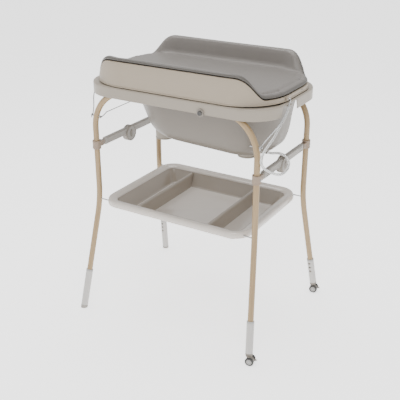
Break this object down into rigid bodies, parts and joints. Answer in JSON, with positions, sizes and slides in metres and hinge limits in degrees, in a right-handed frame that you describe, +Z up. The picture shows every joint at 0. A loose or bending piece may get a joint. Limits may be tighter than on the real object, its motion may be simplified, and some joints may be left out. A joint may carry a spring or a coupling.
{
  "type": "changing table",
  "caption": "Folding changing table with a padded swing-away top over a lift-off baby bath, a tube frame with splayed legs, casters on one end and a compartment tray",
  "frame": {"origin": "on the floor under the middle of the table", "axes": "+X along the table towards the casters, +Y to the far side, +Z up"},
  "size_m": [0.8003, 0.6362, 1.0395],
  "materials": {
    "tube": "satin beige wood-look coating",
    "sleeve": "satin light grey",
    "fitting": "fine grain warm grey",
    "shell": "fine grain beige",
    "bath": "satin warm grey",
    "mat": "soft coated fabric with a fine grain",
    "tray": "glossy light grey",
    "steel": "zinc plated",
    "hose": "clear flexible vinyl",
    "rubber": "matt dark grey",
    "tyre": "soft dark grey tread"
  },
  "bodies": {
    "root": {"rear_leg_left": "tube", "rear_leg_right": "tube", "rear_top_bar": "tube", "rear_tray_rod": "steel", "rear_collar_left": "fitting", "rear_collar_right": "fitting", "rear_bolt_left": "steel"},
    "left_rear_strut": {"left_rear_strut": "fitting", "left_centre_pin": "fitting"},
    "left_front_strut": {"left_front_strut": "fitting"},
    "right_rear_strut": {"right_rear_strut": "fitting", "right_centre_pin": "fitting"},
    "right_front_strut": {"right_front_strut": "fitting"},
    "front_frame": {"front_leg_left": "tube", "front_leg_right": "tube", "front_top_bar": "tube", "front_tray_rod": "steel", "front_collar_left": "fitting", "front_collar_right": "fitting", "front_bolt_left": "steel", "front_bolt_right": "steel"},
    "tray": {"storage_tray": "tray"},
    "stay_rod": {"stay_rod": "steel"},
    "bath": {"bath_tub": "bath", "knob_plate": "bath", "drain_fitting": "fitting", "drain_hose": "hose", "hose_clip": "bath"},
    "lock_knob": {"lock_knob": "rubber"},
    "drain_plug": {"drain_plug": "rubber"},
    "swing_arms": {"swing_arm_left": "steel", "swing_arm_right": "steel"},
    "changing_top": {"changing_shell": "shell", "changing_mat": "mat", "arm_clip_left": "shell", "arm_clip_right": "shell"},
    "front_sleeve_left": {"front_sleeve_left": "sleeve", "front_foot_cap_left": "rubber"},
    "front_snap_button_left": {"front_snap_button_left": "steel"},
    "front_sleeve_right": {"front_sleeve_right": "sleeve", "front_caster_plug": "fitting"},
    "front_snap_button_right": {"front_snap_button_right": "steel"},
    "rear_sleeve_left": {"rear_sleeve_left": "sleeve", "rear_foot_cap_left": "rubber"},
    "rear_snap_button_left": {"rear_snap_button_left": "steel"},
    "rear_sleeve_right": {"rear_sleeve_right": "sleeve", "rear_caster_plug": "fitting"},
    "rear_snap_button_right": {"rear_snap_button_right": "steel"},
    "front_caster": {"front_caster_body": "fitting", "front_caster_axle": "steel"},
    "front_wheels": {"front_caster_wheel_inner": "tyre", "front_caster_wheel_outer": "tyre"},
    "front_brake": {"front_caster_brake": "fitting"},
    "rear_caster": {"rear_caster_body": "fitting", "rear_caster_axle": "steel"},
    "rear_wheels": {"rear_caster_wheel_inner": "tyre", "rear_caster_wheel_outer": "tyre"},
    "rear_brake": {"rear_caster_brake": "fitting"}
  },
  "joints": [
    {"name": "fold", "type": "hinge", "parent": "root", "child": "left_rear_strut", "pos_m": [-0.34, 0.178, 0.6855], "axis": [-1, 0, 0], "range_deg": [0, 80]},
    {"name": "left_strut_centre", "type": "hinge", "parent": "left_rear_strut", "child": "left_front_strut", "pos_m": [-0.34, 0, 0.672], "axis": [1, 0, 0], "range_deg": [0, 160.5]},
    {"name": "front_frame_pivot", "type": "hinge", "parent": "left_front_strut", "child": "front_frame", "pos_m": [-0.34, -0.178, 0.6855], "axis": [-1, 0, 0], "range_deg": [0, 80.5]},
    {"name": "right_rear_pivot", "type": "hinge", "parent": "root", "child": "right_rear_strut", "pos_m": [0.34, 0.178, 0.6855], "axis": [-1, 0, 0], "range_deg": [0, 80.5]},
    {"name": "right_strut_centre", "type": "hinge", "parent": "right_rear_strut", "child": "right_front_strut", "pos_m": [0.34, 0, 0.672], "axis": [1, 0, 0], "range_deg": [0, 160.5]},
    {"name": "tray_hang", "type": "hinge", "parent": "root", "child": "tray", "pos_m": [0, 0.2108, 0.463], "axis": [-1, 0, 0], "range_deg": [0, 64.5]},
    {"name": "stay_rod_swing", "type": "hinge", "parent": "root", "child": "stay_rod", "pos_m": [-0.3156, 0.208, 0.8], "axis": [1, 0, 0], "range_deg": [0, 85]},
    {"name": "bath_lift", "type": "slide", "parent": "root", "child": "bath", "axis": [0, 0, 1], "range_m": [0, 1]},
    {"name": "lock_knob_turn", "type": "hinge", "parent": "bath", "child": "lock_knob", "pos_m": [0.134, -0.2323, 0.892], "axis": [0, 1, 0], "range_deg": [0, 90]},
    {"name": "drain_plug_lift", "type": "slide", "parent": "bath", "child": "drain_plug", "axis": [0, 0, 1], "range_m": [0, 0.03]},
    {"name": "top_swing", "type": "hinge", "parent": "bath", "child": "swing_arms", "pos_m": [0, -0.208, 0.8], "axis": [1, 0, 0], "range_deg": [0, 130]},
    {"name": "top_tilt", "type": "hinge", "parent": "swing_arms", "child": "changing_top", "pos_m": [0, -0.078, 0.9405], "axis": [-1, 0, 0], "range_deg": [0, 40.5]},
    {"name": "front_sleeve_left_slide", "type": "slide", "parent": "front_frame", "child": "front_sleeve_left", "axis": [0.0848, 0.2036, 0.9754], "range_m": [0, 0.04]},
    {"name": "front_snap_button_left_spring", "type": "slide", "parent": "front_frame", "child": "front_snap_button_left", "axis": [-0.0176, 0.9791, -0.2028], "range_m": [0, 0.0036]},
    {"name": "front_sleeve_right_slide", "type": "slide", "parent": "front_frame", "child": "front_sleeve_right", "axis": [-0.0848, 0.2036, 0.9754], "range_m": [0, 0.04]},
    {"name": "front_snap_button_right_spring", "type": "slide", "parent": "front_frame", "child": "front_snap_button_right", "axis": [0.0176, 0.9791, -0.2028], "range_m": [0, 0.0036]},
    {"name": "rear_sleeve_left_slide", "type": "slide", "parent": "root", "child": "rear_sleeve_left", "axis": [0.0848, -0.2036, 0.9754], "range_m": [0, 0.04]},
    {"name": "rear_snap_button_left_spring", "type": "slide", "parent": "root", "child": "rear_snap_button_left", "axis": [-0.0176, -0.9791, -0.2028], "range_m": [0, 0.0036]},
    {"name": "rear_sleeve_right_slide", "type": "slide", "parent": "root", "child": "rear_sleeve_right", "axis": [-0.0848, -0.2036, 0.9754], "range_m": [0, 0.04]},
    {"name": "rear_snap_button_right_spring", "type": "slide", "parent": "root", "child": "rear_snap_button_right", "axis": [0.0176, -0.9791, -0.2028], "range_m": [0, 0.0036]},
    {"name": "front_caster_swivel", "type": "hinge", "parent": "front_sleeve_right", "child": "front_caster", "pos_m": [0.37591, -0.29419, 0.047], "axis": [0, 0, 1], "continuous": true},
    {"name": "front_wheel_spin", "type": "hinge", "parent": "front_caster", "child": "front_wheels", "pos_m": [0.38084, -0.29332, 0.0165], "axis": [-0.1736, 0.9848, 0], "continuous": true},
    {"name": "front_brake_press", "type": "hinge", "parent": "front_caster", "child": "front_brake", "pos_m": [0.39738, -0.29041, 0.0225], "axis": [-0.1736, 0.9848, 0], "range_deg": [0, 15]},
    {"name": "rear_caster_swivel", "type": "hinge", "parent": "rear_sleeve_right", "child": "rear_caster", "pos_m": [0.37591, 0.29419, 0.047], "axis": [0, 0, 1], "continuous": true},
    {"name": "rear_wheel_spin", "type": "hinge", "parent": "rear_caster", "child": "rear_wheels", "pos_m": [0.38084, 0.29506, 0.0165], "axis": [-0.1736, 0.9848, 0], "continuous": true},
    {"name": "rear_brake_press", "type": "hinge", "parent": "rear_caster", "child": "rear_brake", "pos_m": [0.39738, 0.29798, 0.0225], "axis": [-0.1736, 0.9848, 0], "range_deg": [0, 15]}
  ],
  "couplings": [
    {"joint": "left_strut_centre", "follows": "fold", "ratio": 2},
    {"joint": "front_frame_pivot", "follows": "fold", "ratio": 1},
    {"joint": "right_rear_pivot", "follows": "fold", "ratio": 1},
    {"joint": "right_strut_centre", "follows": "fold", "ratio": 2},
    {"joint": "tray_hang", "follows": "fold", "ratio": 0.8},
    {"joint": "stay_rod_swing", "follows": "fold", "ratio": 1.06},
    {"joint": "bath_lift", "follows": "fold", "m_per_rad": 0.716},
    {"joint": "top_tilt", "follows": "top_swing", "ratio": 0.308}
  ]
}
